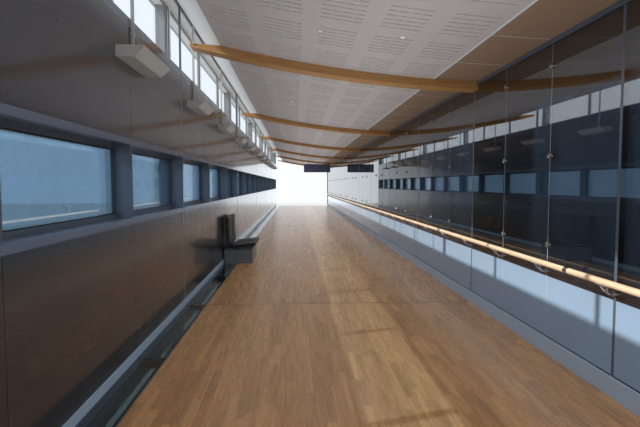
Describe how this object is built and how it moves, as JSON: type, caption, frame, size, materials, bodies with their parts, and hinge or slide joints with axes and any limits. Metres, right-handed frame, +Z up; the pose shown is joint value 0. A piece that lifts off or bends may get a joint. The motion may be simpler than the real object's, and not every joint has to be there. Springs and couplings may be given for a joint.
{
  "type": "glazed passenger walkway of a jet bridge",
  "caption": "Raised passenger walkway with a curved timber-beam roof, one panelled wall with a long window, one glass screen with a handrail, and an oak floor.",
  "frame": {"origin": "on the ground, below the middle of the walkway's length and of the roof's width", "axes": "+Y along the walkway, +X towards the glass screen, +Z up"},
  "size_m": [5.83, 36.8, 9.0128],
  "materials": {
    "concrete": "smooth cast concrete, pale grey",
    "slab_concrete": "board-marked concrete",
    "painted_steel": "satin grey paint on rolled steel",
    "oak": "satin lacquered oak strip",
    "trim_metal": "satin anodised",
    "floor_glass": "laminated, green edge, faint grey dots",
    "wall_board": "faced insulated board",
    "cladding": "coated aluminium cassette",
    "skirting_grey": "satin light grey",
    "lower_lacquer": "gloss warm grey lacquer",
    "upper_lacquer": "gloss warm grey lacquer",
    "pale_band": "satin pale blue-grey",
    "dark_frame": "satin dark grey",
    "light_frame": "satin grey",
    "window_glass": "clear with a faint blue coating",
    "light_housing": "satin pale grey",
    "lens": "opal diffuser",
    "screen_glass": "clear toughened glass with polished edges",
    "stainless": "polished stainless steel",
    "backing_blue": "satin blue-grey",
    "rail_timber": "lacquered hardwood",
    "glulam": "sealed glued laminated timber",
    "perforated_ceiling": "off-white trays with groups of short slots",
    "plain_ceiling": "plain grey trays",
    "scoop_white": "matt white",
    "roof_metal": "standing seam sheet",
    "end_metal": "satin grey closing frame",
    "bench_metal": "black powder coat",
    "bench_upholstery": "black ribbed leathercloth",
    "sign_dark": "bare dark sign case"
  },
  "bodies": {
    "root": {"right_columns": "concrete", "left_columns": "concrete", "column_brackets": "painted_steel", "cross_girders": "painted_steel", "edge_girder": "painted_steel", "floor_stringers": "painted_steel", "deck_slab": "slab_concrete", "oak_floor": "oak", "floor_trims": "trim_metal", "glass_floor": "floor_glass", "glass_floor_bearers": "painted_steel", "facade_posts": "painted_steel", "lower_wall": "wall_board", "upper_wall": "wall_board", "outer_cladding": "cladding", "skirting": "skirting_grey", "lower_panels": "lower_lacquer", "upper_panels": "upper_lacquer", "wall_bands": "pale_band", "window_frames": "dark_frame", "window_glass": "window_glass", "high_window_frames": "light_frame", "high_window_glass": "window_glass", "wall_lights": "light_housing", "light_lenses": "lens", "screen_base": "skirting_grey", "screen_glass": "screen_glass", "screen_frame": "dark_frame", "patch_fittings": "stainless", "backing_panels": "backing_blue", "handrail": "rail_timber", "rail_brackets": "stainless", "glulam_beams": "glulam", "beam_shoes": "painted_steel", "main_ceiling": "perforated_ceiling", "plain_ceiling": "plain_ceiling", "light_scoop": "scoop_white", "roof_deck": "roof_metal", "roof_edges": "cladding", "end_frames": "end_metal", "bench_frame": "bench_metal", "bench_pads": "bench_upholstery", "hanging_sign": "sign_dark", "ceiling_spots": "light_housing"}
  },
  "joints": []
}
